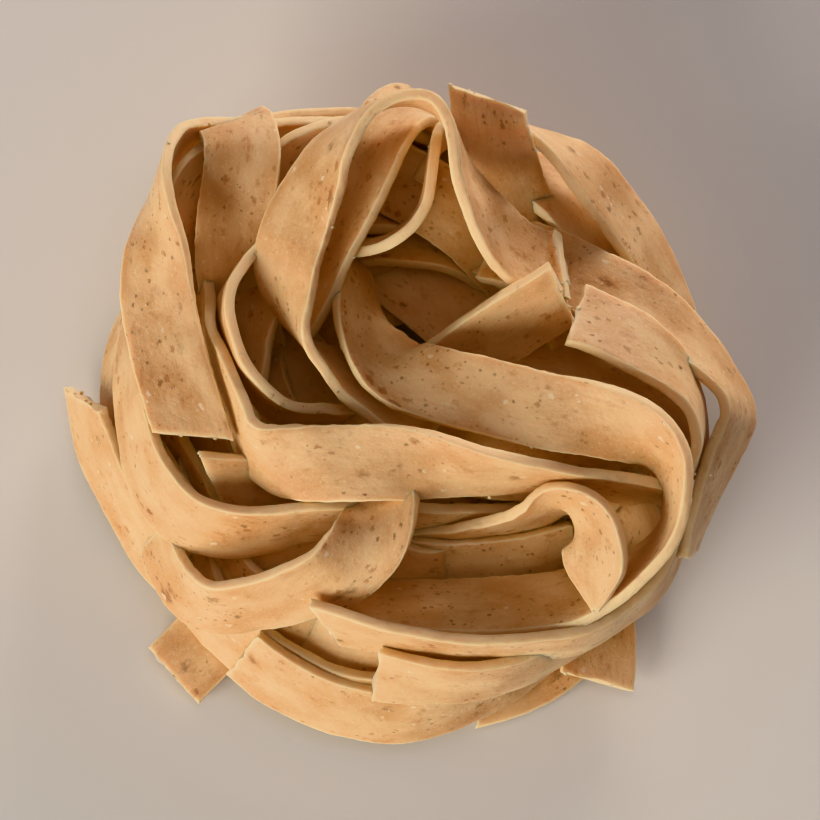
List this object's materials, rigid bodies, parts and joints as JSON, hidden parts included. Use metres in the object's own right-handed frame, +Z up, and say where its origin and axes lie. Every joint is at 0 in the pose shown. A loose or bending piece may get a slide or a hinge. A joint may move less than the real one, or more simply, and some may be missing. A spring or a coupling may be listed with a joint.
{
  "type": "dry pasta nest",
  "caption": "Nest of dry wholewheat tagliatelle: flat pasta ribbons wound into a round heap with an open hollow, dried stiff, resting on its lowest ribbons.",
  "frame": {"origin": "middle of the bounding box in plan, on the surface that the nest rests on", "axes": "+Z up out of the open hollow; +Y towards the high side of the rim, where the arching ribbon crosses it; +X to the right when the nest is seen from the low side"},
  "size_m": [0.072, 0.0668, 0.0325],
  "materials": {
    "pasta": "matte dried wholewheat dough"
  },
  "bodies": {
    "root": {"pasta_nest": "pasta"}
  },
  "joints": []
}
